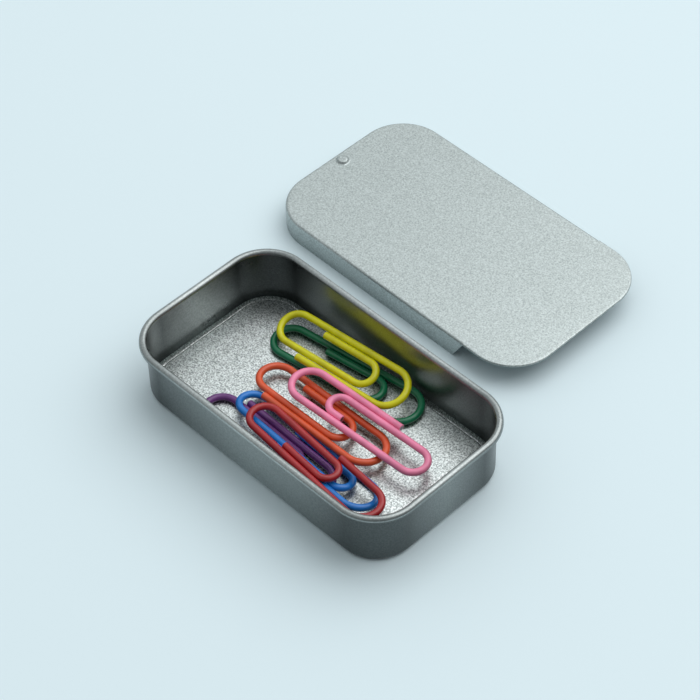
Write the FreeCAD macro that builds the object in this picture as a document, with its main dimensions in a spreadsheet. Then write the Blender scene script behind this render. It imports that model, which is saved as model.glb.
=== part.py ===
import FreeCAD, Part
import math
import os
import Sketcher

# Small slide-lid tin of bare tinplate, lid drawn off and laid beside it, with coated paper clips in its tray.
# +Z is up and the tin stands on z = 0. The tray's long axis lies along X and the lid lies behind it at +Y.

os.makedirs("parts", exist_ok=True)
doc = FreeCAD.newDocument("SlideLidTin")

# ---------------------------------------------------------------- driving sizes, millimetres and degrees
sheet = doc.addObject("Spreadsheet::Sheet", "sizes")
rowCount = 0


def cell(alias, value):
    """One named size: its name stands in column A and its plain number in column B."""
    global rowCount
    rowCount += 1
    sheet.set(f"A{rowCount}", alias)
    sheet.set(f"B{rowCount}", str(value))
    sheet.setAlias(f"B{rowCount}", alias)


def size(alias):
    return float(sheet.get(alias))


cell("sheetGauge", 0.24)       # tinplate of the tray and the lid

cell("rimLength", 59.8)        # over the rolled rim
cell("rimWidth", 33.8)
cell("rimCorner", 8.3)
cell("trayHeight", 11.9)       # table to the top of the rim
cell("beadRadius", 0.66)       # outside of the rolled rim
cell("curlTail", 65)           # the roll stops this many degrees short of a full turn
cell("footBend", 1.2)          # outer radius where the wall turns into the base
cell("panelLength", 55.0)      # base panel, pressed up inside a narrow foot
cell("panelWidth", 29.0)
cell("panelCorner", 5.9)
cell("panelTop", 1.6)
cell("panelBend", 0.4)

cell("lidLength", 60.5)
cell("lidWidth", 34.5)
cell("lidCorner", 8.6)
cell("lidHeight", 4.4)
cell("lidBend", 0.5)           # outer radius where the plate turns down into the skirt
cell("cutTop", 18.2)           # the skirt ends here at the plate ...
cell("cutFoot", 15.4)          # ... and further back at its foot
cell("hemWidth", 2.0)          # plate folded under itself round the end with no skirt
cell("hemThick", 0.5)
cell("railHalf", 14.0)         # the rails run this far each way along the straight sides
cell("railLedge", 2.45)        # top of the rail's ledge over the table
cell("railReach", 0.75)        # how far the ledge stands in from the skirt
cell("dimpleInset", 1.95)      # dimple's centre from the closed end
cell("dimpleRadius", 1.25)
cell("dimpleRise", 0.45)
cell("dimpleBend", 0.3)

cell("lidX", -10.85)           # lid's middle, from the tray's
cell("lidY", 43.83)
cell("lidTurn", -0.57)

cell("wireRadius", 0.62)       # coated wire
cell("legPitch", 1.32)         # between two legs that lie side by side

# Each clip: length and half width between wire middles, how far the inner loop stands back from the outer one,
# where the two free ends stop, then the place of its middle and its turn, slope and roll in the tray.
clipColumns = ("Length", "HalfWidth", "Inset", "InnerEnd", "OuterEnd", "X", "Y", "Z", "Yaw", "Pitch", "Roll")
clipRows = {
    "yellow": (26.7, 3.57, 6.5, 7.9, 6.3, -4.63, 9.69, 4.71, 5.0, -1.2, 16.0),
    "green": (29.8, 3.72, 7.4, 9.3, 22.0, -3.35, 9.15, 2.36, 8.1, -0.1, 2.3),
    "coral": (27.3, 3.76, 7.1, 7.7, 4.2, 0.51, -0.4, 3.41, 1.0, 0.4, -6.1),
    "pink": (28.2, 3.22, 7.8, 16.5, 8.1, 7.2, 2.38, 4.94, 183.9, -2.6, 0.8),
    "red": (28.9, 3.26, 9.8, 9.0, 16.8, 8.0, -8.63, 5.2, -4.0, 1.5, 177.4),
    "blue": (31.2, 3.36, 5.3, 11.5, 12.0, 4.22, -7.37, 3.2, -1.7, 0.9, -13.4),
    "purple": (27.6, 3.7, 6.9, 8.5, 5.0, -1.63, -10.18, 2.24, -1.7, 0.0, 180.0),
}
for colour, row in clipRows.items():
    for column, value in zip(clipColumns, row):
        cell(colour + column, value)
doc.recompute()


# ---------------------------------------------------------------- shared helpers
def newBody(name):
    body = doc.addObject("PartDesign::Body", name)
    body.Label = name
    return body


def originPlane(body, role):
    return next(feature for feature in body.Origin.OriginFeatures if feature.Role == role)


def newSketch(body, name, role, offset="0"):
    """Sketch on one of the body's own origin planes, moved along its normal by an expression."""
    sketch = body.newObject("Sketcher::SketchObject", name)
    sketch.AttachmentSupport = [(originPlane(body, role), "")]
    sketch.MapMode = "FlatFace"
    sketch.setExpression("AttachmentOffset.Base.z", offset)
    return sketch


def bind(sketch, name, expression, *constraint):
    """Add one named dimension and tie it to the sheet."""
    index = sketch.addConstraint(Sketcher.Constraint(*constraint))
    sketch.renameConstraint(index, name)
    sketch.setExpression(f"Constraints.{name}", expression)


def vector(x, y):
    return FreeCAD.Vector(x, y, 0)


def line(sketch, x0, y0, x1, y1):
    return sketch.addGeometry(Part.LineSegment(vector(x0, y0), vector(x1, y1)), False)


def arc(sketch, x, y, radius, start, end):
    """Arc about (x, y), counter-clockwise between two angles in degrees."""
    circle = Part.Circle(vector(x, y), FreeCAD.Vector(0, 0, 1), radius)
    return sketch.addGeometry(Part.ArcOfCircle(circle, math.radians(start), math.radians(end)), False)


def roundedOutline(body, name, length, width, corner, offset="0"):
    """Closed rounded rectangle about the origin; its sizes are expressions in the sheet's names."""
    sketch = newSketch(body, name, "XY_Plane", offset)
    halfX, halfY, radius = 20.0, 12.0, 5.0      # starting shape, solved to the real sizes below
    inX = halfX - radius
    inY = halfY - radius
    top = line(sketch, inX, halfY, -inX, halfY)
    topLeft = arc(sketch, -inX, inY, radius, 90, 180)
    left = line(sketch, -halfX, inY, -halfX, -inY)
    lowLeft = arc(sketch, -inX, -inY, radius, 180, 270)
    low = line(sketch, -inX, -halfY, inX, -halfY)
    lowRight = arc(sketch, inX, -inY, radius, 270, 360)
    right = line(sketch, halfX, -inY, halfX, inY)
    topRight = arc(sketch, inX, inY, radius, 0, 90)
    ring = [top, topLeft, left, lowLeft, low, lowRight, right, topRight]
    for here, there in zip(ring, ring[1:]):
        sketch.addConstraint(Sketcher.Constraint("Tangent", here, 2, there, 1))
    sketch.addConstraint(Sketcher.Constraint("Tangent", topRight, 2, top, 1))
    for level in (top, low):
        sketch.addConstraint(Sketcher.Constraint("Horizontal", level))
    for upright in (left, right):
        sketch.addConstraint(Sketcher.Constraint("Vertical", upright))
    for other in (topLeft, lowLeft, lowRight):
        sketch.addConstraint(Sketcher.Constraint("Equal", topRight, other))
    bind(sketch, "corner", corner, "Radius", topRight, radius)
    bind(sketch, "toRight", f"({length}) / 2", "DistanceX", -1, 1, right, 1, halfX)
    bind(sketch, "toLeft", f"({length}) / 2", "DistanceX", left, 1, -1, 1, halfX)
    bind(sketch, "toTop", f"({width}) / 2", "DistanceY", -1, 1, top, 1, halfY)
    bind(sketch, "toLow", f"({width}) / 2", "DistanceY", low, 1, -1, 1, halfY)
    return sketch


def prism(body, kind, name, profile, length, reverse=False):
    """Pad or pocket of a sketch to a bound depth; a pocket has to take something away."""
    before = body.Shape.Volume if kind == "Pocket" else 0
    feature = body.newObject(f"PartDesign::{kind}", name)
    feature.Profile = profile
    feature.setExpression("Length", length)
    feature.Reversed = reverse
    doc.recompute()
    if kind == "Pocket" and feature.Shape.Volume >= before:
        raise RuntimeError(f"{name} cuts nothing")
    return feature


def edgesWhere(shape, test):
    """Names of the edges whose whole box passes a test."""
    return [f"Edge{number}" for number, edge in enumerate(shape.Edges, 1) if test(edge.BoundBox)]


def roundOff(body, name, base, test, radius):
    fillet = body.newObject("PartDesign::Fillet", name)
    fillet.Base = (base, edgesWhere(base.Shape, test))
    fillet.setExpression("Radius", radius)
    doc.recompute()
    return fillet


def hollowOut(body, name, base, openHeight):
    """Leave a skin of sheet metal inside the block's surface, open at the face that lies flat at one height."""
    isOpen = flatAt(openHeight)
    faces = [f"Face{number}" for number, face in enumerate(base.Shape.Faces, 1) if isOpen(face.BoundBox)]
    skin = body.newObject("PartDesign::Thickness", name)
    skin.Base = (base, faces)
    skin.Reversed = True
    skin.setExpression("Value", "sizes.sheetGauge")
    doc.recompute()
    return skin


def flatAt(height):
    """Test for edges and faces that lie flat at one height."""
    return lambda box: abs(box.ZMin - height) < 1e-4 and abs(box.ZMax - height) < 1e-4


def sweep(body, name, profile, path):
    pipe = body.newObject("PartDesign::AdditivePipe", name)
    pipe.Profile = profile
    pipe.Spine = path
    doc.recompute()
    return pipe


# ---------------------------------------------------------------- tray
def makeTray():
    """Drawn cup with a pressed-up base panel on a narrow foot, its rim rolled outward and down."""
    body = newBody("tray")
    wallLength = "sizes.rimLength - 4 * sizes.beadRadius + 2 * sizes.sheetGauge"
    wallWidth = "sizes.rimWidth - 4 * sizes.beadRadius + 2 * sizes.sheetGauge"
    wallCorner = "sizes.rimCorner - 2 * sizes.beadRadius + sizes.sheetGauge"
    wallTop = "sizes.trayHeight - sizes.beadRadius"

    outside = roundedOutline(body, "trayOutside", wallLength, wallWidth, wallCorner)
    block = prism(body, "Pad", "trayBlock", outside, wallTop)
    foot = roundOff(body, "trayFoot", block, flatAt(0), "sizes.footBend")

    hollowOut(body, "trayHollow", foot, size("trayHeight") - size("beadRadius"))

    panelOutline = roundedOutline(body, "panelOutline", "sizes.panelLength", "sizes.panelWidth", "sizes.panelCorner")
    panel = prism(body, "Pad", "panel", panelOutline, "sizes.panelTop")
    under = roundedOutline(body, "panelUnder", "sizes.panelLength - 2 * sizes.sheetGauge",
                           "sizes.panelWidth - 2 * sizes.sheetGauge", "sizes.panelCorner - sizes.sheetGauge")
    pressed = prism(body, "Pocket", "panelPressed", under, "sizes.panelTop - sizes.sheetGauge", True)
    roundOff(body, "panelEdge", pressed, flatAt(size("panelTop")), "sizes.panelBend")

    rolled = roundedOutline(body, "rimPath", "sizes.rimLength - 2 * sizes.beadRadius",
                            "sizes.rimWidth - 2 * sizes.beadRadius", "sizes.rimCorner - sizes.beadRadius", wallTop)
    rim = sweep(body, "rim", curlSection(body), rolled)
    body.Tip = rim
    return body


def curlSection(body):
    """The rolled edge cut across: a thin ring from the wall over the top and back under, open towards the wall."""
    startX = "sizes.rimLength / 2 - sizes.rimCorner"
    sketch = newSketch(body, "curlSection", "YZ_Plane", startX)
    outer = size("beadRadius")
    inner = outer - size("sheetGauge")
    middleY = size("rimWidth") / 2 - outer
    middleZ = size("trayHeight") - outer
    tail = size("curlTail") - 180
    tailX = math.cos(math.radians(tail))
    tailY = math.sin(math.radians(tail))
    outerArc = arc(sketch, middleY, middleZ, outer, tail, 180)
    innerArc = arc(sketch, middleY, middleZ, inner, tail, 180)
    wallFace = line(sketch, middleY - outer, middleZ, middleY - inner, middleZ)
    tailFace = line(sketch, middleY + outer * tailX, middleZ + outer * tailY,
                    middleY + inner * tailX, middleZ + inner * tailY)
    joints = ((outerArc, 2, wallFace, 1), (innerArc, 2, wallFace, 2),
              (outerArc, 1, tailFace, 1), (innerArc, 1, tailFace, 2), (outerArc, 3, innerArc, 3))
    for joint in joints:
        sketch.addConstraint(Sketcher.Constraint("Coincident", *joint))
    sketch.addConstraint(Sketcher.Constraint("Horizontal", wallFace))
    sketch.addConstraint(Sketcher.Constraint("PointOnObject", outerArc, 3, wallFace))
    sketch.addConstraint(Sketcher.Constraint("PointOnObject", outerArc, 3, tailFace))
    bind(sketch, "outerRadius", "sizes.beadRadius", "Radius", outerArc, outer)
    bind(sketch, "innerRadius", "sizes.beadRadius - sizes.sheetGauge", "Radius", innerArc, inner)
    bind(sketch, "fromMiddle", "sizes.rimWidth / 2 - sizes.beadRadius", "DistanceX", -1, 1, outerArc, 3, middleY)
    bind(sketch, "fromTable", "sizes.trayHeight - sizes.beadRadius", "DistanceY", -1, 1, outerArc, 3, middleZ)
    bind(sketch, "tailDrop", "sizes.beadRadius * sin(sizes.curlTail * 1deg)", "DistanceY",
         outerArc, 1, outerArc, 3, -outer * tailY)
    return sketch


# ---------------------------------------------------------------- lid
def makeLid():
    """Plate with a skirt round one end and along both sides, the other end open with a hemmed edge."""
    body = newBody("lid")
    top = size("lidHeight")

    outside = roundedOutline(body, "lidOutside", "sizes.lidLength", "sizes.lidWidth", "sizes.lidCorner")
    block = prism(body, "Pad", "lidBlock", outside, "sizes.lidHeight")
    shoulder = roundOff(body, "lidShoulder", block, flatAt(top), "sizes.lidBend")
    shell = hollowOut(body, "lidHollow", shoulder, 0)

    openEnd = body.newObject("PartDesign::Pocket", "openEnd")
    openEnd.Profile = endCut(body)
    openEnd.Type = "ThroughAll"
    openEnd.Midplane = True
    doc.recompute()
    if openEnd.Shape.Volume >= shell.Shape.Volume:
        raise RuntimeError("openEnd cuts nothing")

    sweep(body, "hem", hemSection(body), hemPath(body))
    rail = body.newObject("PartDesign::Pad", "rail")
    rail.Profile = railSection(body)
    rail.setExpression("Length", "2 * sizes.railHalf")
    rail.Midplane = True
    doc.recompute()
    bothRails = body.newObject("PartDesign::Mirrored", "bothRails")
    bothRails.Originals = [rail]
    bothRails.MirrorPlane = (originPlane(body, "XZ_Plane"), [""])
    body.Tip = bothRails
    doc.recompute()

    boss = prism(body, "Pad", "dimple", dimpleCircle(body, "dimpleOutside", "sizes.dimpleRadius",
                                                     "sizes.lidHeight - sizes.sheetGauge"),
                 "sizes.dimpleRise + sizes.sheetGauge")
    roundOff(body, "dimpleCrown", boss, flatAt(top + size("dimpleRise")), "sizes.dimpleBend")
    prism(body, "Pocket", "dimpleHollow", dimpleCircle(body, "dimpleInside", "sizes.dimpleRadius - sizes.sheetGauge",
                                                       "sizes.lidHeight - sizes.sheetGauge"),
          "sizes.dimpleRise", True)
    return body


def endCut(body):
    """Four-sided cut that takes the skirt off the open end, slanting back towards the foot."""
    sketch = newSketch(body, "endCut", "XZ_Plane")
    under = size("lidHeight") - size("sheetGauge")
    past = size("lidLength") / 2 + 1
    below = -1.0
    corners = [(size("cutTop"), under), (size("cutFoot"), below), (past, below), (past, under)]
    sides = [line(sketch, *here, *there) for here, there in zip(corners, corners[1:] + corners[:1])]
    for here, there in zip(sides, sides[1:] + sides[:1]):
        sketch.addConstraint(Sketcher.Constraint("Coincident", here, 2, there, 1))
    sketch.addConstraint(Sketcher.Constraint("Horizontal", sides[1]))
    sketch.addConstraint(Sketcher.Constraint("Horizontal", sides[3]))
    sketch.addConstraint(Sketcher.Constraint("Vertical", sides[2]))
    bind(sketch, "plateUnder", "sizes.lidHeight - sizes.sheetGauge", "DistanceY", -1, 1, sides[0], 1, under)
    bind(sketch, "cutTop", "sizes.cutTop", "DistanceX", -1, 1, sides[0], 1, size("cutTop"))
    bind(sketch, "cutFoot", "sizes.cutFoot", "DistanceX", -1, 1, sides[1], 1, size("cutFoot"))
    bind(sketch, "pastEnd", "sizes.lidLength / 2 + 1", "DistanceX", -1, 1, sides[1], 2, past)
    bind(sketch, "belowFoot", "1", "DistanceY", sides[1], 1, -1, 1, -below)
    return sketch


def hemSection(body):
    """The folded edge cut across, its outer side a half round."""
    sketch = newSketch(body, "hemSection", "YZ_Plane", "sizes.cutTop")
    half = size("hemThick") / 2
    outY = size("lidWidth") / 2 - half
    inY = size("lidWidth") / 2 - size("hemWidth")
    middleZ = size("lidHeight") - half
    lower = line(sketch, inY, middleZ - half, outY, middleZ - half)
    nose = arc(sketch, outY, middleZ, half, -90, 90)
    upper = line(sketch, outY, middleZ + half, inY, middleZ + half)
    back = line(sketch, inY, middleZ + half, inY, middleZ - half)
    sketch.addConstraint(Sketcher.Constraint("Tangent", lower, 2, nose, 1))
    sketch.addConstraint(Sketcher.Constraint("Tangent", nose, 2, upper, 1))
    sketch.addConstraint(Sketcher.Constraint("Coincident", upper, 2, back, 1))
    sketch.addConstraint(Sketcher.Constraint("Coincident", back, 2, lower, 1))
    sketch.addConstraint(Sketcher.Constraint("Horizontal", lower))
    sketch.addConstraint(Sketcher.Constraint("Horizontal", upper))
    sketch.addConstraint(Sketcher.Constraint("Vertical", back))
    bind(sketch, "noseRadius", "sizes.hemThick / 2", "Radius", nose, half)
    bind(sketch, "noseOut", "(sizes.lidWidth - sizes.hemThick) / 2", "DistanceX", -1, 1, nose, 3, outY)
    bind(sketch, "noseUp", "sizes.lidHeight - sizes.hemThick / 2", "DistanceY", -1, 1, nose, 3, middleZ)
    bind(sketch, "foldBack", "sizes.lidWidth / 2 - sizes.hemWidth", "DistanceX", -1, 1, back, 1, inY)
    return sketch


def hemPath(body):
    """The open end's outline, from one end of the skirt round to the other."""
    sketch = newSketch(body, "hemPath", "XY_Plane", "sizes.lidHeight - sizes.hemThick / 2")
    half = size("hemThick") / 2
    endX = size("lidLength") / 2 - half
    sideY = size("lidWidth") / 2 - half
    radius = size("lidCorner") - half
    start = size("cutTop")
    farSide = line(sketch, start, sideY, endX - radius, sideY)
    farCorner = arc(sketch, endX - radius, sideY - radius, radius, 0, 90)
    end = line(sketch, endX, sideY - radius, endX, radius - sideY)
    nearCorner = arc(sketch, endX - radius, radius - sideY, radius, 270, 360)
    nearSide = line(sketch, endX - radius, -sideY, start, -sideY)
    joints = ((farSide, 2, farCorner, 2), (farCorner, 1, end, 1), (end, 2, nearCorner, 2), (nearCorner, 1, nearSide, 1))
    for joint in joints:
        sketch.addConstraint(Sketcher.Constraint("Tangent", *joint))
    sketch.addConstraint(Sketcher.Constraint("Horizontal", farSide))
    sketch.addConstraint(Sketcher.Constraint("Horizontal", nearSide))
    sketch.addConstraint(Sketcher.Constraint("Vertical", end))
    sketch.addConstraint(Sketcher.Constraint("Equal", farCorner, nearCorner))
    bind(sketch, "corner", "sizes.lidCorner - sizes.hemThick / 2", "Radius", farCorner, radius)
    bind(sketch, "toEnd", "(sizes.lidLength - sizes.hemThick) / 2", "DistanceX", -1, 1, end, 1, endX)
    bind(sketch, "toFar", "(sizes.lidWidth - sizes.hemThick) / 2", "DistanceY", -1, 1, farSide, 1, sideY)
    bind(sketch, "toNear", "(sizes.lidWidth - sizes.hemThick) / 2", "DistanceY", nearSide, 2, -1, 1, sideY)
    bind(sketch, "fromCut", "sizes.cutTop", "DistanceX", -1, 1, farSide, 1, start)
    bind(sketch, "toCut", "sizes.cutTop", "DistanceX", -1, 1, nearSide, 2, start)
    return sketch


def railSection(body):
    """The skirt's foot doubled up inside itself and turned in as a ledge, which slides under the tray's rim."""
    sketch = newSketch(body, "railSection", "YZ_Plane")
    gauge = size("sheetGauge")
    outY = size("lidWidth") / 2 - gauge
    ledgeTop = size("railLedge")
    lipY = outY - size("railReach")
    corners = [(outY, 0), (outY, ledgeTop), (lipY, ledgeTop), (lipY, ledgeTop - gauge),
               (outY - gauge, ledgeTop - gauge), (outY - gauge, 0)]
    sides = [line(sketch, *here, *there) for here, there in zip(corners, corners[1:] + corners[:1])]
    for here, there in zip(sides, sides[1:] + sides[:1]):
        sketch.addConstraint(Sketcher.Constraint("Coincident", here, 2, there, 1))
    for upright in sides[0::2]:
        sketch.addConstraint(Sketcher.Constraint("Vertical", upright))
    for level in sides[1::2]:
        sketch.addConstraint(Sketcher.Constraint("Horizontal", level))
    sketch.addConstraint(Sketcher.Constraint("PointOnObject", sides[0], 1, -1))
    bind(sketch, "skirtInside", "sizes.lidWidth / 2 - sizes.sheetGauge", "DistanceX", -1, 1, sides[0], 1, outY)
    bind(sketch, "ledgeTop", "sizes.railLedge", "DistanceY", -1, 1, sides[0], 2, ledgeTop)
    bind(sketch, "reach", "sizes.railReach", "DistanceX", sides[1], 2, sides[1], 1, outY - lipY)
    bind(sketch, "ledgeGauge", "sizes.sheetGauge", "DistanceY", sides[2], 2, sides[2], 1, gauge)
    bind(sketch, "foldGauge", "sizes.sheetGauge", "DistanceX", sides[5], 1, sides[5], 2, gauge)
    return sketch


def dimpleCircle(body, name, radius, height):
    sketch = newSketch(body, name, "XY_Plane", height)
    middleX = size("dimpleInset") - size("lidLength") / 2
    ring = sketch.addGeometry(Part.Circle(vector(middleX, 0), FreeCAD.Vector(0, 0, 1), size("dimpleRadius")), False)
    sketch.addConstraint(Sketcher.Constraint("PointOnObject", ring, 3, -1))
    bind(sketch, "radius", radius, "Radius", ring, size("dimpleRadius"))
    bind(sketch, "fromMiddle", "sizes.lidLength / 2 - sizes.dimpleInset", "DistanceX", ring, 3, -1, 1, -middleX)
    return sketch


# ---------------------------------------------------------------- paper clips
def clipPath(body, colour):
    """Middle line of a clip: inner leg, inner loop, leg, second loop, leg, outer loop, outer leg, all in one plane."""
    sketch = newSketch(body, colour + "Path", "XY_Plane")
    half = size(colour + "HalfWidth")
    inner = half - size("legPitch")
    middle = half - size("legPitch") / 2
    length = size(colour + "Length")
    innerX = length / 2 - size(colour + "Inset") - inner
    secondX = middle - length / 2
    outerX = length / 2 - half
    innerEnd = size(colour + "InnerEnd") - length / 2
    outerEnd = size(colour + "OuterEnd") - length / 2
    innerLeg = line(sketch, innerEnd, inner, innerX, inner)
    innerLoop = arc(sketch, innerX, 0, inner, -90, 90)
    backLeg = line(sketch, innerX, -inner, secondX, -inner)
    secondLoop = arc(sketch, secondX, half - middle, middle, 90, 270)
    longLeg = line(sketch, secondX, half, outerX, half)
    outerLoop = arc(sketch, outerX, 0, half, -90, 90)
    outerLeg = line(sketch, outerX, -half, outerEnd, -half)
    joints = ((innerLeg, 2, innerLoop, 2), (innerLoop, 1, backLeg, 1), (backLeg, 2, secondLoop, 2),
              (secondLoop, 1, longLeg, 1), (longLeg, 2, outerLoop, 2), (outerLoop, 1, outerLeg, 1))
    for joint in joints:
        sketch.addConstraint(Sketcher.Constraint("Tangent", *joint))
    for leg in (innerLeg, backLeg, longLeg, outerLeg):
        sketch.addConstraint(Sketcher.Constraint("Horizontal", leg))
    sketch.addConstraint(Sketcher.Constraint("PointOnObject", outerLoop, 3, -1))
    sketch.addConstraint(Sketcher.Constraint("PointOnObject", innerLoop, 3, -1))
    whole = f"sizes.{colour}Length"
    bind(sketch, "outerRadius", f"sizes.{colour}HalfWidth", "Radius", outerLoop, half)
    bind(sketch, "innerRadius", f"sizes.{colour}HalfWidth - sizes.legPitch", "Radius", innerLoop, inner)
    bind(sketch, "outerPlace", f"{whole} / 2 - sizes.{colour}HalfWidth", "DistanceX", -1, 1, outerLoop, 3, outerX)
    bind(sketch, "innerPlace", f"{whole} / 2 - sizes.{colour}Inset - sizes.{colour}HalfWidth + sizes.legPitch",
         "DistanceX", -1, 1, innerLoop, 3, innerX)
    bind(sketch, "secondPlace", f"{whole} / 2 - sizes.{colour}HalfWidth + sizes.legPitch / 2",
         "DistanceX", secondLoop, 3, -1, 1, -secondX)
    bind(sketch, "innerStop", f"{whole} / 2 - sizes.{colour}InnerEnd", "DistanceX", innerLeg, 1, -1, 1, -innerEnd)
    bind(sketch, "outerStop", f"{whole} / 2 - sizes.{colour}OuterEnd", "DistanceX", outerLeg, 2, -1, 1, -outerEnd)
    return sketch


def wireSection(body, colour):
    """Round section of the wire, square across the start of the inner leg."""
    place = f"sizes.{colour}InnerEnd - sizes.{colour}Length / 2"
    sketch = newSketch(body, colour + "Section", "YZ_Plane", place)
    inner = size(colour + "HalfWidth") - size("legPitch")
    radius = size("wireRadius")
    ring = sketch.addGeometry(Part.Circle(vector(inner, 0), FreeCAD.Vector(0, 0, 1), radius), False)
    sketch.addConstraint(Sketcher.Constraint("PointOnObject", ring, 3, -1))
    bind(sketch, "radius", "sizes.wireRadius", "Radius", ring, radius)
    bind(sketch, "offLine", f"sizes.{colour}HalfWidth - sizes.legPitch", "DistanceX", -1, 1, ring, 3, inner)
    return sketch


def makeClip(colour):
    body = newBody("clip_" + colour)
    path = clipPath(body, colour)
    sweep(body, colour + "Wire", wireSection(body, colour), path)
    turn = FreeCAD.Rotation(size(colour + "Yaw"), size(colour + "Pitch"), size(colour + "Roll"))
    middle = FreeCAD.Vector(size(colour + "X"), size(colour + "Y"), size(colour + "Z"))
    body.Placement = FreeCAD.Placement(middle, turn)
    return body


# ---------------------------------------------------------------- assembly and output
parts = [makeTray(), makeLid()] + [makeClip(colour) for colour in clipRows]
lid = parts[1]
lid.Placement = FreeCAD.Placement(FreeCAD.Vector(size("lidX"), size("lidY"), 0),
                                  FreeCAD.Rotation(size("lidTurn"), 0, 0))
doc.recompute()

# The origin is the middle of the whole arrangement's footprint, on the table.
footprint = FreeCAD.BoundBox()
for part in parts:
    footprint.add(part.Shape.optimalBoundingBox(False, False))
shift = FreeCAD.Vector(-footprint.Center.x, -footprint.Center.y, 0)
for part in parts:
    part.Placement.Base = part.Placement.Base + shift
doc.recompute()

for thing in doc.Objects:
    if "Invalid" in thing.State or "Error" in thing.State:
        raise RuntimeError(f"{thing.Name} failed: {thing.State}")
for part in parts:
    if part.Shape.isNull() or not part.Shape.isValid() or len(part.Shape.Solids) != 1:
        raise RuntimeError(f"{part.Label} has no single valid solid")
    part.Shape.exportStep(f"parts/{part.Label}.step")
    box = part.Shape.optimalBoundingBox(False, False)
    print(f"{part.Label}: {part.Shape.Volume:.1f} mm3, {box.XLength:.2f} x {box.YLength:.2f} x {box.ZLength:.2f} mm, "
          f"z {box.ZMin:.2f} to {box.ZMax:.2f}")
print(f"tray middle at {shift.x:.3f}, {shift.y:.3f}")
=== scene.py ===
import math
import bmesh
import bpy
import numpy as np
from mathutils import Matrix, Vector


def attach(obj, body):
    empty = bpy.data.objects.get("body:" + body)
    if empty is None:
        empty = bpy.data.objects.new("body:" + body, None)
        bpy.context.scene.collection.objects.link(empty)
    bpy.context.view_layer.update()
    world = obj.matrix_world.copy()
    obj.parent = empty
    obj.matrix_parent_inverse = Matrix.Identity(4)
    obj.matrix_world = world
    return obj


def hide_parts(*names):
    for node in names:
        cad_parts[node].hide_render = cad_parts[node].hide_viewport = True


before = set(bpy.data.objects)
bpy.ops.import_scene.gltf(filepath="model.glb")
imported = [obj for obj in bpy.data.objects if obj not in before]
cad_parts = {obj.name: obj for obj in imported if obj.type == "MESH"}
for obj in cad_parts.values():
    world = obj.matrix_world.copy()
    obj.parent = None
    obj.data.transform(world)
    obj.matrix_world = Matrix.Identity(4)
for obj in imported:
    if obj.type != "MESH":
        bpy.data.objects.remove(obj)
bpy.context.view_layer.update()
print("frame loaded:", ", ".join(sorted(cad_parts)))

mm = 0.001
trayPlace = (5.642, -22.197)      # middle of the tray's footprint, mm
middleRings = np.array((0.0, 0.35, 0.7))      # rings that draw a flat middle together, shares of its reach


def gridFaces(rows, columns, closedRows=False):
    # Quads between neighbours of a rows x columns grid, numbered row by row. A closed grid joins its last
    # row to its first.
    row = np.arange(rows if closedRows else rows - 1)[:, None]
    column = np.arange(columns - 1)[None, :]
    after = (row + 1) % rows
    corners = (row * columns + column, row * columns + column + 1,
               after * columns + column + 1, after * columns + column)
    return np.stack(corners, axis=-1).reshape(-1, 4)


def buildPiece(name, points, faces, sharpAngle=32, faceSlots=None, cornerShadeShare=None):
    # Points are in millimetres and faces are quads. Corners that fall together are merged, which closes the
    # poles. faceSlots gives each face's material, and the last argument each point's share of the painted
    # corner shade.
    mesh = bpy.data.meshes.new(name)
    mesh.from_pydata((points * mm).tolist(), [], faces.tolist())
    if faceSlots is not None:
        mesh.polygons.foreach_set("material_index", faceSlots.astype(np.int32))
    if cornerShadeShare is not None:
        mesh.attributes.new("cornerShadeShare", "FLOAT", "POINT").data.foreach_set("value", cornerShadeShare)
    work = bmesh.new()
    work.from_mesh(mesh)
    bmesh.ops.remove_doubles(work, verts=work.verts, dist=2e-7)
    work.to_mesh(mesh)
    work.free()
    mesh.polygons.foreach_set("use_smooth", np.ones(len(mesh.polygons), dtype=bool))
    mesh.set_sharp_from_angle(angle=math.radians(sharpAngle))
    mesh.update()
    piece = bpy.data.objects.new(name, mesh)
    bpy.context.scene.collection.objects.link(piece)
    return piece


def bentLine(corners, steps=9, hair=0.04):
    # A sheet's outline: straight runs joined by round bends. Points are reach + i height, and each corner is
    # (point, bend radius). The bend turns about the middle that lies one radius to its inner side, and one
    # more point a hair before and after it lets the flat runs shade flat.
    spots = [point for point, _ in corners]
    line = [spots[0]]
    for before, (corner, radius), after in zip(spots, corners[1:-1], spots[2:]):
        ahead = (corner - before) / abs(corner - before)
        turn = np.angle((after - corner) / abs(after - corner) / ahead)
        start = corner - ahead * radius * abs(math.tan(turn / 2))
        inward = 1j * np.sign(turn) * ahead
        swing = np.exp(1j * np.linspace(0, turn, steps if radius else 1))
        bend = start + inward * radius - inward * radius * swing
        line += [start - ahead * hair, *bend, bend[-1] + ahead * np.exp(1j * turn) * hair]
    return np.array(line + [spots[-1]])


def arcLine(middle, radius, start, end, steps):
    # points on a circle about a middle, angles in degrees
    return middle + radius * np.exp(1j * np.radians(np.linspace(start, end, steps)))


def walkRing(halfX, halfY, spotsX, spotsY, cornerSteps=25):
    # Stations once round a rounded rectangle, counter-clockwise. Each has a middle on the small rectangle
    # that the corner middles make, and an outward direction: a profile point is middle + reach x outward.
    middles = []
    angles = []
    turn = np.linspace(0, 90, cornerSteps)
    cornerSigns = ((1, 1), (-1, 1), (-1, -1), (1, -1))
    for quarter, (signX, signY) in enumerate(cornerSigns):
        middles.append(np.tile((signX * halfX, signY * halfY), (cornerSteps, 1)))
        angles.append(turn + 90 * quarter)
        spots = spotsX if quarter % 2 == 0 else spotsY
        spots = spots[::-1] if quarter < 2 else spots
        level = signY * halfY if quarter % 2 == 0 else signX * halfX
        side = np.full((len(spots), 2), float(level))
        side[:, quarter % 2] = spots
        middles.append(side)
        angles.append(np.full(len(spots), 90.0 * (quarter + 1)))
    angle = np.radians(np.concatenate(angles))
    return np.concatenate(middles), np.stack((np.cos(angle), np.sin(angle)), axis=-1)


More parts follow.
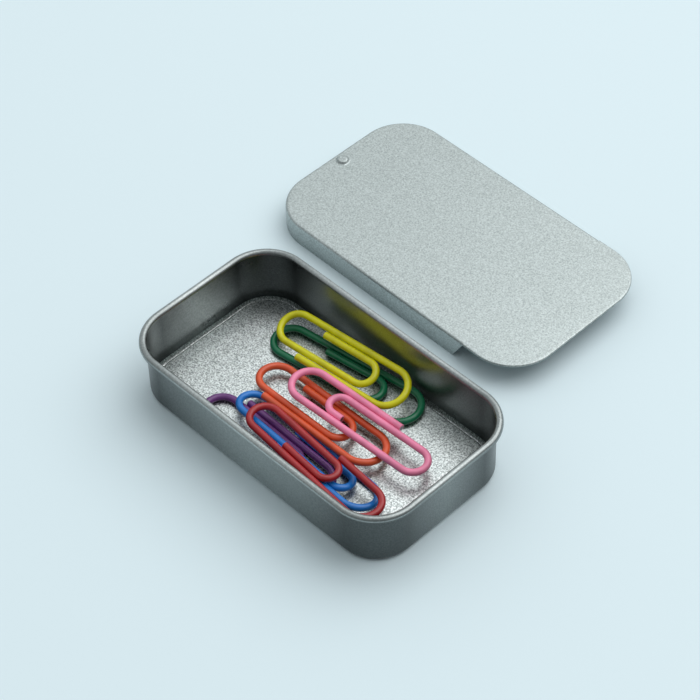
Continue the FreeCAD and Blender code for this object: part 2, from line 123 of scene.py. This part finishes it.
def carryProfile(middles, outward, spread, reach, height):
    # Surface of a profile carried round the ring: x, y = spread x middle + reach x outward, z = height.
    # spread under 1 draws the ring together, and 0 with no reach is the pole in the middle.
    shape = (len(middles), len(spread))
    reach = np.broadcast_to(reach, shape)[..., None]
    height = np.broadcast_to(height, shape)[..., None]
    flat = spread[None, :, None] * middles[:, None, :] + reach * outward[:, None, :]
    return np.concatenate((flat, height), axis=-1)


def place(points, x, y, z, yaw, pitch=0.0, roll=0.0):
    # turned about X by roll, then about Y by pitch, then about Z by yaw, and moved
    turn = (Matrix.Rotation(math.radians(yaw), 3, "Z") @ Matrix.Rotation(math.radians(pitch), 3, "Y")
            @ Matrix.Rotation(math.radians(roll), 3, "X"))
    return points @ np.array(turn).T + np.array((x, y, z))


def linear(hexColour):
    # sRGB hex to linear, with alpha 1
    value = np.array([int(hexColour[i:i + 2], 16) for i in (0, 2, 4)]) / 255
    value = np.where(value <= 0.04045, value / 12.92, ((value + 0.055) / 1.055) ** 2.4)
    return (*value.tolist(), 1.0)


def addNode(tree, kind, settings=None, links=None):
    # one node: settings name its properties and sockets, links give its sockets another node's output
    node = tree.nodes.new(kind)
    for key, value in (settings or {}).items():
        if isinstance(key, str) and hasattr(node, key):
            setattr(node, key, value)
        else:
            node.inputs[key].default_value = value
    for key, output in (links or {}).items():
        tree.links.new(output, node.inputs[key])
    return node


def newMaterial(name):
    material = bpy.data.materials.new(name)
    material.use_nodes = True
    tree = material.node_tree
    return material, tree, tree.nodes["Principled BSDF"]


def matteTinplate(name, look):
    # Tinplate: thin cold-rolled steel with a coat of tin, from rolls with a stone-blasted face, so the tin
    # is matte with fine even pits. The eye sees a soft cool grey sheen, broken up by small bright specks.
    # Real pits are near 0.05 mm, too fine to show here, so they are drawn coarser.
    material, tree, shader = newMaterial(name)
    where = addNode(tree, "ShaderNodeTexCoord").outputs["Object"]
    pits = addNode(tree, "ShaderNodeTexNoise",
                   {"Scale": 1 / (look["pitSize"] * mm), "Detail": 3.0, "Roughness": 0.6},
                   {"Vector": where})
    clouds = addNode(tree, "ShaderNodeTexNoise",
                     {"Scale": 1 / (look["cloudSize"] * mm), "Detail": 2.0},
                     {"Vector": where})
    tone = addNode(tree, "ShaderNodeValToRGB", None, {"Fac": pits.outputs["Fac"]})
    dark, bright = tone.color_ramp.elements
    dark.position, bright.position = look["pitSpan"]
    dark.color = linear(look["pitColour"])
    bright.color = linear(look["topColour"])
    colour = tone.outputs["Color"]
    # painted shade: the colour is multiplied towards a dark grey by each point's share attribute, darkest at
    # the wall corners
    if "paintedCornerShade" in look:
        # sockets 6 and 7 are the mix node's two colours, output 2 the mixed one
        cornerShadeShare = addNode(tree, "ShaderNodeAttribute", {"attribute_name": "cornerShadeShare"})
        shade = addNode(tree, "ShaderNodeMix",
                        {"data_type": "RGBA", "blend_type": "MULTIPLY", 7: linear(look["paintedCornerShade"])},
                        {0: cornerShadeShare.outputs["Fac"], 6: colour})
        colour = shade.outputs[2]
    swing = 0.05                  # the clouds raise and lower the roughness by this much
    cloudSpan = (0.3, 0.7)        # the noise lies mostly between these
    rough = addNode(tree, "ShaderNodeMapRange",
                    {"From Min": cloudSpan[0], "From Max": cloudSpan[1],
                     "To Min": look["roughness"] - swing, "To Max": look["roughness"] + swing},
                    {"Value": clouds.outputs["Fac"]})
    bump = addNode(tree, "ShaderNodeBump",
                   {"Strength": look["pitStrength"], "Distance": look["pitDepth"] * mm},
                   {"Height": pits.outputs["Fac"]})
    shader.inputs["Metallic"].default_value = 1.0
    tree.links.new(colour, shader.inputs["Base Color"])
    tree.links.new(rough.outputs["Result"], shader.inputs["Roughness"])
    tree.links.new(bump.outputs["Normal"], shader.inputs["Normal"])
    return material


def vinylCoat(name, hexColour, look):
    # PVC dipped and cured over steel wire: a smooth, slightly soft-looking skin with a broad highlight, a
    # little thinner and darker in places, with the faint orange peel of a dipped coat.
    material, tree, shader = newMaterial(name)
    where = addNode(tree, "ShaderNodeTexCoord").outputs["Object"]
    thick = addNode(tree, "ShaderNodeTexNoise",
                    {"Scale": 1 / (look["patchSize"] * mm), "Detail": 2.0},
                    {"Vector": where})
    peel = addNode(tree, "ShaderNodeTexNoise",
                   {"Scale": 1 / (look["peelSize"] * mm), "Detail": 1.0},
                   {"Vector": where})
    tint = addNode(tree, "ShaderNodeValToRGB", None, {"Fac": thick.outputs["Fac"]})
    thin, full = tint.color_ramp.elements
    thin.position, full.position = look["patchSpan"]
    full.color = linear(hexColour)
    thin.color = (*(channel * look["thinShade"] for channel in linear(hexColour)[:3]), 1.0)
    bump = addNode(tree, "ShaderNodeBump",
                   {"Strength": look["peelStrength"], "Distance": look["peelDepth"] * mm},
                   {"Height": peel.outputs["Fac"]})
    tree.links.new(tint.outputs["Color"], shader.inputs["Base Color"])
    tree.links.new(bump.outputs["Normal"], shader.inputs["Normal"])
    shader.inputs["Roughness"].default_value = look["roughness"]
    shader.inputs["IOR"].default_value = look["ior"]
    return material


def setMaterials(piece, *materials):
    for material in materials:
        piece.data.materials.append(material)


tray = {
    "gauge": 0.24,            # sheet thickness, mm
    "cornerMiddle": (21.6, 8.6),
    "rimReach": 8.3,          # corner radius over the rolled rim
    "height": 11.9,
    "beadRadius": 0.66,
    "rollEnd": -115,          # where the roll stops, degrees
    "footBend": 1.2,
    "panelReach": 5.9,        # corner radius of the raised base panel
    "panelTop": 1.6,
    "panelBend": 0.4,         # at the panel's upper edge, and beneath it the next one
    "panelUnderBend": 0.12,
    "crease": 0.05,           # at the foot of the panel's edge
    "flatReach": 4.0,         # inside this ring the panel is one flat sheet
    "stations": (32, 14),     # along a long and a short side
    "rollSteps": (40, 32),    # round the roll, outside and inside
}
trayLook = {"pitSize": 0.28, "pitDepth": 0.042, "pitStrength": 1.0, "pitSpan": (0.36, 0.62),
            "pitColour": "828887", "topColour": "e2e7e6", "cloudSize": 6.0, "roughness": 0.34}
# The walls carry a painted shade, darkest at the corners, standing in for the shaded table that the real
# walls reflect there. It fades along the straight sides, and is weaker on the rolled rim. The walls are also
# a little smoother than the panel.
wallLook = {"pitSize": 0.3, "pitDepth": 0.012, "pitStrength": 0.5, "pitSpan": (0.3, 0.7),
            "pitColour": "a2a8a7", "topColour": "c2c8c7", "cloudSize": 6.0, "roughness": 0.32,
            "paintedCornerShade": "858788", "fadeLength": 11.0, "rimShare": 0.5}


def makeTray():
    # One sheet's outline, from the panel's middle over the rolled rim and back underneath to the middle.
    gauge = tray["gauge"]
    beadRadius = tray["beadRadius"]
    bead = tray["rimReach"] - beadRadius + 1j * (tray["height"] - beadRadius)
    wallIn = bead.real - beadRadius
    wallOut = wallIn + gauge
    panelReach = tray["panelReach"]
    panelTop = tray["panelTop"]
    flatReach = tray["flatReach"]
    inside = bentLine([(flatReach + 1j * panelTop, 0), (panelReach + 1j * panelTop, tray["panelBend"]),
                       (panelReach + 1j * gauge, tray["crease"]),
                       (wallIn + 1j * gauge, tray["footBend"] - gauge), (wallIn + 1j * bead.imag, 0)])
    stepsOut, stepsIn = tray["rollSteps"]
    rollOut = arcLine(bead, beadRadius, 180, tray["rollEnd"], stepsOut)[1:]
    rollIn = arcLine(bead, beadRadius - gauge, tray["rollEnd"], 180, stepsIn)
    outside = bentLine([(wallOut + 1j * bead.imag, 0), (wallOut + 0j, tray["footBend"]),
                        (panelReach - gauge + 0j, tray["crease"]),
                        (panelReach - gauge + 1j * (panelTop - gauge), tray["panelUnderBend"]),
                        (flatReach + 1j * (panelTop - gauge), 0)])[1:]
    profile = np.concatenate((inside, rollOut, rollIn, outside))
    flat = np.ones(len(middleRings))
    spread = np.concatenate((middleRings, np.ones(len(profile)), middleRings[::-1]))
    reach = np.concatenate((middleRings * flatReach, profile.real, middleRings[::-1] * flatReach))
    height = np.concatenate((flat * panelTop, profile.imag, flat * (panelTop - gauge)))
    halfX, halfY = tray["cornerMiddle"]
    stationsX, stationsY = tray["stations"]
    middles, outward = walkRing(halfX, halfY, np.linspace(-halfX, halfX, stationsX)[1:-1],
                                np.linspace(-halfY, halfY, stationsY)[1:-1])
    points = carryProfile(middles, outward, spread, reach, height)
    faces = gridFaces(points.shape[0], points.shape[1], closedRows=True)

    # the groove round the panel, seen from above, keeps the panel's finish
    isInside = np.arange(len(reach) - 1) < len(middleRings) + len(inside)
    isGroove = isInside & (height[:-1] < tray["footBend"])
    isWall = ((reach[:-1] > panelReach - gauge) & ~isGroove).astype(int)
    # share of the painted corner shade: 1 at the corners, falling by e each fade length along a side
    onLongSide = np.abs(outward[:, 1]) > 0.999            # faces along Y
    fromCorner = np.where(onLongSide, halfX - np.abs(middles[:, 0]), halfY - np.abs(middles[:, 1]))
    share = np.where(height > bead.imag, wallLook["rimShare"], 1.0)
    cornerShadeShare = np.outer(np.exp(-fromCorner / wallLook["fadeLength"]), share)
    piece = buildPiece("drawnTray", place(points.reshape(-1, 3), *trayPlace, 0, 0), faces,
                       faceSlots=np.tile(isWall, len(middles)), cornerShadeShare=cornerShadeShare.ravel())
    setMaterials(piece, matteTinplate("panelTinplate", trayLook),
                 matteTinplate("wallTinplate", wallLook))
    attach(piece, "root")
    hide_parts("tray")
    print("tray:", len(piece.data.polygons), "faces")


makeTray()


lid = {
    "gauge": 0.24,
    "cornerMiddle": (21.65, 8.65),
    "reach": 8.6,             # corner radius over the skirt
    "flatReach": 5.0,         # inside this ring the plate has no rings of its own
    "height": 4.4,
    "bend": 0.5,
    "cutTop": 18.2,           # the skirt ends here under the plate ...
    "cutFoot": 15.94,         # ... and here at its foot
    "hemWidth": 2.0,
    "hemThick": 0.5,
    "railHalf": 14.0,
    "railTop": 2.45,
    "railReach": 0.75,
    "dimple": (-28.3, 0.0),
    "dimpleFoot": 1.3,
    "dimpleCrown": 0.75,
    "dimpleRise": 0.45,
    "dimpleNear": 1.5,        # stations are close together this far to each side of the dimple
    "plateSteps": 34,
    "stations": (28, 31, 8),  # along a long side, beside the dimple and on the rest of a short side
    "place": (-10.85, 43.83),
    "turn": -0.57,
}
lidLook = {"pitSize": 0.28, "pitDepth": 0.022, "pitStrength": 0.8, "pitSpan": (0.32, 0.66),
           "pitColour": "959c9b", "topColour": "bdc5c4", "cloudSize": 8.0, "roughness": 0.4}


def makeLid():
    # Plate, skirt and inner skirt are one outline. At stations past the cut the same points lie as a flat
    # hem: the skirt's outer face becomes the fold's round nose, and its inner face shrinks to the nose's
    # foot.
    gauge = lid["gauge"]
    top = lid["height"]
    under = top - gauge
    outer = lid["reach"]
    inner = outer - gauge
    bendMiddle = outer - lid["bend"] + 1j * (top - lid["bend"])
    noseRadius = lid["hemThick"] / 2
    nose = outer - noseRadius + 1j * (top - noseRadius)
    noseFoot = nose - 1j * noseRadius
    foldEnd = outer - lid["hemWidth"]
    flatReach = lid["flatReach"]
    hair = 0.02                   # a point this near a bend lets the plate shade flat
    plate = np.linspace(flatReach, bendMiddle.real, lid["plateSteps"])[:-1]
    plate = np.append(plate, bendMiddle.real - hair)

    bendOut = arcLine(bendMiddle, lid["bend"], 90, 0, 9)
    face = outer + 1j * np.array((3.8, 2.0, 0.06, 0.0))          # heights down the skirt, mm
    railTop = lid["railTop"]
    inside = inner + 1j * np.array((0, railTop - gauge, railTop - gauge, railTop, railTop, bendMiddle.imag))
    railDepth = np.array((gauge, gauge, lid["railReach"], lid["railReach"], 0, 0))
    turnIn = np.full(2, inner + 1j * bendMiddle.imag)
    bendIn = arcLine(bendMiddle, lid["bend"] - gauge, 0, 90, 6)

    hemFace = arcLine(nose, noseRadius, 0, -90, 5)[1:]
    hemTurn = np.array((foldEnd + 1j * noseFoot.imag, foldEnd + 1j * under))
    skirtLine = np.concatenate((plate + 1j * top, bendOut, face, inside, turnIn, bendIn,
                                plate[::-1] + 1j * under))
    hemLine = np.concatenate((plate + 1j * top, arcLine(nose, noseRadius, 90, 0, len(bendOut)), hemFace,
                              np.full(len(inside), noseFoot), hemTurn,
                              np.full(len(bendIn), foldEnd + 1j * under),
                              np.minimum(plate[::-1], foldEnd) + 1j * under))
    railStart = len(plate) + len(bendOut) + len(face)
    depth = np.zeros(len(skirtLine))
    depth[railStart:railStart + len(railDepth)] = railDepth

    halfX, halfY = lid["cornerMiddle"]
    split = 0.002                 # two stations this far to each side of a step make it sharp
    steps = np.array((-lid["railHalf"], lid["railHalf"], lid["cutTop"]))
    stationsX, stationsNear, stationsAway = lid["stations"]
    beforeCut = np.linspace(-halfX, lid["cutFoot"] - 0.1, stationsX)[1:]
    pastCut = np.array((20.0,))   # one station on the hem's stretch of the side
    spotsX = np.sort(np.concatenate((beforeCut, pastCut, steps - split, steps + split)))
    near = lid["dimpleNear"]
    nearDimple = np.linspace(-near, near, stationsNear)
    awayFromDimple = np.linspace(near + 0.1, halfY, stationsAway)[:-1]
    spotsY = np.concatenate((-awayFromDimple[::-1], nearDimple, awayFromDimple))
    middles, outward = walkRing(halfX, halfY, spotsX, spotsY)
    onSide = np.abs(outward[:, 1]) > 0.999                # faces along Y
    isRail = onSide & (np.abs(middles[:, 0]) < lid["railHalf"])
    isHem = middles[:, 0] > lid["cutTop"]
    line = np.where(isHem[:, None], hemLine, skirtLine)
    reach = line.real - isRail[:, None] * depth
    ends = np.zeros((len(middles), len(middleRings)))
    flatRings = ends + middleRings * flatReach
    reach = np.concatenate((flatRings, reach, flatRings[:, ::-1]), axis=1)
    height = np.concatenate((ends + top, line.imag, ends + under), axis=1)
    spread = np.concatenate((middleRings, np.ones(len(skirtLine)), middleRings[::-1]))
    points = carryProfile(middles, outward, spread, reach, height)

    # the skirt's end slants back towards its foot
    cut = lid["cutFoot"] + (lid["cutTop"] - lid["cutFoot"]) * np.clip(points[..., 2] / under, 0, 1)
    slant = (onSide & ~isHem)[:, None] & (points[..., 2] < under)
    points[..., 0] = np.where(slant, np.minimum(points[..., 0], cut), points[..., 0])

    # pressed dimple: a level crown inside one circle, falling by a cosine to the plate at a wider one
    away = np.hypot(points[..., 0] - lid["dimple"][0], points[..., 1] - lid["dimple"][1])
    fall = np.clip((away - lid["dimpleCrown"]) / (lid["dimpleFoot"] - lid["dimpleCrown"]), 0, 1)
    isPlate = points[..., 2] > under - 0.01
    points[..., 2] += lid["dimpleRise"] * (0.5 + 0.5 * np.cos(np.pi * fall)) * isPlate

    faces = gridFaces(points.shape[0], points.shape[1], closedRows=True)
    x, y = (a + b for a, b in zip(lid["place"], trayPlace))
    piece = buildPiece("slideLid", place(points.reshape(-1, 3), x, y, 0, lid["turn"]), faces)
    setMaterials(piece, matteTinplate("lidTinplate", lidLook))
    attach(piece, "root")
    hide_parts("lid")
    print("lid:", len(piece.data.polygons), "faces")


makeLid()


clip = {
    "wireRadius": 0.62,       # over the coat, mm
    "coreRadius": 0.42,
    "legPitch": 1.32,         # between two legs that lie side by side
    "edge": 0.05,             # chamfer at a cut end
    "sides": 24,
    "loopSteps": 33,
    "legSteps": 14,
}
# colour; then length, half width, inset of the inner loop and ends of the inner and the outer leg, mm;
# then x and y from the tray's middle and z from the table, mm, and yaw, pitch and roll, degrees.
# A separate fitting program found these numbers, and they are rounded from what it gave.
clips = {
    "yellow": ("d6d200", (26.7, 3.57, 6.5, 7.9, 6.3), (-4.63, 9.69, 4.71, 5.0, -1.2, 16.0)),
    "green": ("06704a", (29.8, 3.72, 7.4, 9.3, 22.0), (-3.35, 9.15, 2.36, 8.1, -0.1, 2.3)),
    "coral": ("da552c", (27.3, 3.76, 7.1, 7.7, 4.2), (0.51, -0.4, 3.41, 1.0, 0.4, -6.1)),
    "pink": ("f287ab", (28.2, 3.22, 7.8, 16.5, 8.1), (7.2, 2.38, 4.94, 183.9, -2.6, 0.8)),
    "red": ("a61f23", (28.9, 3.26, 9.8, 9.0, 16.8), (8.0, -8.63, 5.2, -4.0, 1.5, 177.4)),
    "blue": ("1777cc", (31.2, 3.36, 5.3, 11.5, 12.0), (4.22, -7.37, 3.2, -1.7, 0.9, -13.4)),
    "purple": ("6b3579", (27.6, 3.7, 6.9, 8.5, 5.0), (-1.63, -10.18, 2.24, -1.7, 0.0, 180.0)),
}
coatLook = {"patchSize": 3.0, "patchSpan": (0.35, 0.6), "thinShade": 0.82, "peelSize": 0.35,
            "peelDepth": 0.01, "peelStrength": 0.5, "roughness": 0.32, "ior": 1.53}
coreLook = {"pitSize": 0.15, "pitDepth": 0.01, "pitStrength": 0.5, "pitSpan": (0.3, 0.7),
            "pitColour": "6c6f72", "topColour": "8f9397", "cloudSize": 1.0, "roughness": 0.45}


def clipLine(length, halfWidth, inset, innerEnd, outerEnd):
    # Middle line of the wire, flat in x, y: leg, inner loop, leg, second loop, leg, outer loop, leg.
    # Points are x + i y, and each comes with its heading.
    inner = halfWidth - clip["legPitch"]
    second = halfWidth - clip["legPitch"] / 2
    innerX = length / 2 - inset - inner
    secondX = second - length / 2
    outerX = length / 2 - halfWidth
    loops = ((innerX, inner, 90, -90), (secondX + 1j * (halfWidth - second), second, -90, -270),
             (outerX, halfWidth, 90, -90))
    points = []
    headings = []
    start = innerEnd - length / 2 + 1j * inner
    heading = 1 + 0j
    for middle, radius, first, last in loops:
        turn = arcLine(middle, radius, first, last, clip["loopSteps"])
        leg = np.linspace(start, turn[0], clip["legSteps"])[:-1]
        points.append(leg)
        headings.append(np.full(len(leg), heading))
        points.append(turn)
        headings.append(-1j * (turn - middle) / radius)
        start = turn[-1]
        heading = -heading
    leg = np.linspace(start, outerEnd - length / 2 - 1j * halfWidth, clip["legSteps"])[1:]
    points.append(leg)
    headings.append(np.full(len(leg), heading))
    return np.concatenate(points), np.concatenate(headings)


def makeClip(colour):
    # A round section carried along the line: point + side x (radius cos t) + up x (radius sin t), where side
    # is square to the heading. Each end draws in to the coat's edge, the core's rim and the core's middle.
    hexColour, sizes, pose = clips[colour]
    line, heading = clipLine(*sizes)
    radius = clip["wireRadius"]
    edge = clip["edge"]
    endStep = np.array((edge, 0.0, 0.0, 0.0))
    endRadius = np.array((radius, radius - edge, clip["coreRadius"], 0.0))
    firstPoints = line[0] + heading[0] * endStep
    lastPoints = line[-1] - heading[-1] * endStep
    middle = np.concatenate((firstPoints[::-1], line[1:-1], lastPoints))
    ends = np.ones(len(endStep))
    course = np.concatenate((ends * heading[0], heading[1:-1], ends * heading[-1]))
    radii = np.concatenate((endRadius[::-1], np.full(len(line) - 2, radius), endRadius))
    angle = np.linspace(0, 2 * np.pi, clip["sides"], endpoint=False)
    side = 1j * course
    across = middle[:, None] + side[:, None] * radii[:, None] * np.cos(angle)
    points = np.stack((across.real, across.imag, radii[:, None] * np.sin(angle)), axis=-1)
    rows, columns = points.shape[:2]
    faces = gridFaces(columns, rows, closedRows=True)
    points = points.transpose(1, 0, 2).reshape(-1, 3)
    isCore = np.zeros(rows - 1)
    isCore[[0, -1]] = 1
    x, y, z, yaw, pitch, roll = pose
    points = place(points, x + trayPlace[0], y + trayPlace[1], z, yaw, pitch, roll)
    piece = buildPiece("paperClip_" + colour, points, faces, sharpAngle=40,
                       faceSlots=np.tile(isCore, columns))
    setMaterials(piece, vinylCoat(colour + "Vinyl", hexColour, coatLook), coreSteel)
    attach(piece, "root")
    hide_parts("clip_" + colour)


coreSteel = matteTinplate("coreSteel", coreLook)
for colour in clips:
    makeClip(colour)
print("clips:", ", ".join(clips))


studio = {
    "floorColour": "dcebf0",
    "floorRoughness": 0.7,
    "floorSpecular": 0.2,
    "floorHalf": 2.5,                 # metres
    "boxPlace": (0.14, 0.58, 0.95),   # metres
    "boxSize": 1.3,
    "boxPower": 8.2,
    "skyColour": "f4fafc",
    "skyWay": (-0.48, 0.45, 0.75),    # the sky is brightest this way ...
    "skyBack": 0.92,                  # ... with this strength
    "skyFront": 0.22,                 # and falls to this behind the viewer
    "skySpan": (-0.3, 1.0),           # between these shares of that way
}


def makeFloor():
    half = studio["floorHalf"]
    edge = np.linspace(-half, half, 3) / mm
    x, y = np.meshgrid(edge, edge, indexing="ij")
    points = np.stack((x, y, np.zeros_like(x)), axis=-1).reshape(-1, 3)
    floor = buildPiece("studioFloor", points, gridFaces(3, 3)[:, ::-1])
    material, tree, shader = newMaterial("paleCard")
    shader.inputs["Base Color"].default_value = linear(studio["floorColour"])
    shader.inputs["Roughness"].default_value = studio["floorRoughness"]
    shader.inputs["Specular IOR Level"].default_value = studio["floorSpecular"]
    setMaterials(floor, material)


def makeLights():
    lamp = bpy.data.lights.new("softBox", "AREA")
    lamp.shape = "SQUARE"
    lamp.size = studio["boxSize"]
    lamp.energy = studio["boxPower"]
    softBox = bpy.data.objects.new("softBox", lamp)
    softBox.location = studio["boxPlace"]
    softBox.rotation_euler = (-Vector(studio["boxPlace"])).to_track_quat("-Z", "Y").to_euler()
    bpy.context.scene.collection.objects.link(softBox)
    world = bpy.data.worlds.new("studioWorld")
    bpy.context.scene.world = world
    world.use_nodes = True
    tree = world.node_tree
    way = addNode(tree, "ShaderNodeTexCoord").outputs["Generated"]
    along = addNode(tree, "ShaderNodeVectorMath",
                    {"operation": "DOT_PRODUCT", 1: studio["skyWay"]}, {0: way})
    level = addNode(tree, "ShaderNodeMapRange",
                    {"From Min": studio["skySpan"][0], "From Max": studio["skySpan"][1],
                     "To Min": studio["skyFront"], "To Max": studio["skyBack"]},
                    {"Value": along.outputs["Value"]})
    background = tree.nodes["Background"]
    background.inputs["Color"].default_value = linear(studio["skyColour"])
    tree.links.new(level.outputs["Result"], background.inputs["Strength"])


view = {
    "target": (-2.64, -7.05, 0.0),    # on the table, mm
    "azimuth": -43.44,
    "elevation": 47.66,
    "distance": 407.2,
    "roll": 1.84,
    "lens": 123.3,
}


def makeCamera():
    azimuth, elevation, roll = (math.radians(view[key]) for key in ("azimuth", "elevation", "roll"))
    back = Vector((math.cos(azimuth) * math.cos(elevation), math.sin(azimuth) * math.cos(elevation),
                   math.sin(elevation)))
    level = Vector((0, 0, 1)).cross(back).normalized()
    upright = back.cross(level)
    right = level * math.cos(roll) - upright * math.sin(roll)
    up = upright * math.cos(roll) + level * math.sin(roll)
    turn = Matrix((right, up, back)).transposed().to_4x4()
    lens = bpy.data.cameras.new("studioCamera")
    lens.lens = view["lens"]
    lens.sensor_width = 36.0
    lens.clip_start = 0.01
    camera = bpy.data.objects.new("studioCamera", lens)
    eye = (Vector(view["target"]) + back * view["distance"]) * mm
    camera.matrix_world = Matrix.Translation(eye) @ turn
    bpy.context.scene.collection.objects.link(camera)
    bpy.context.scene.camera = camera


makeFloor()
makeLights()
makeCamera()
bpy.context.scene.view_settings.view_transform = "Standard"
print("studio ready")
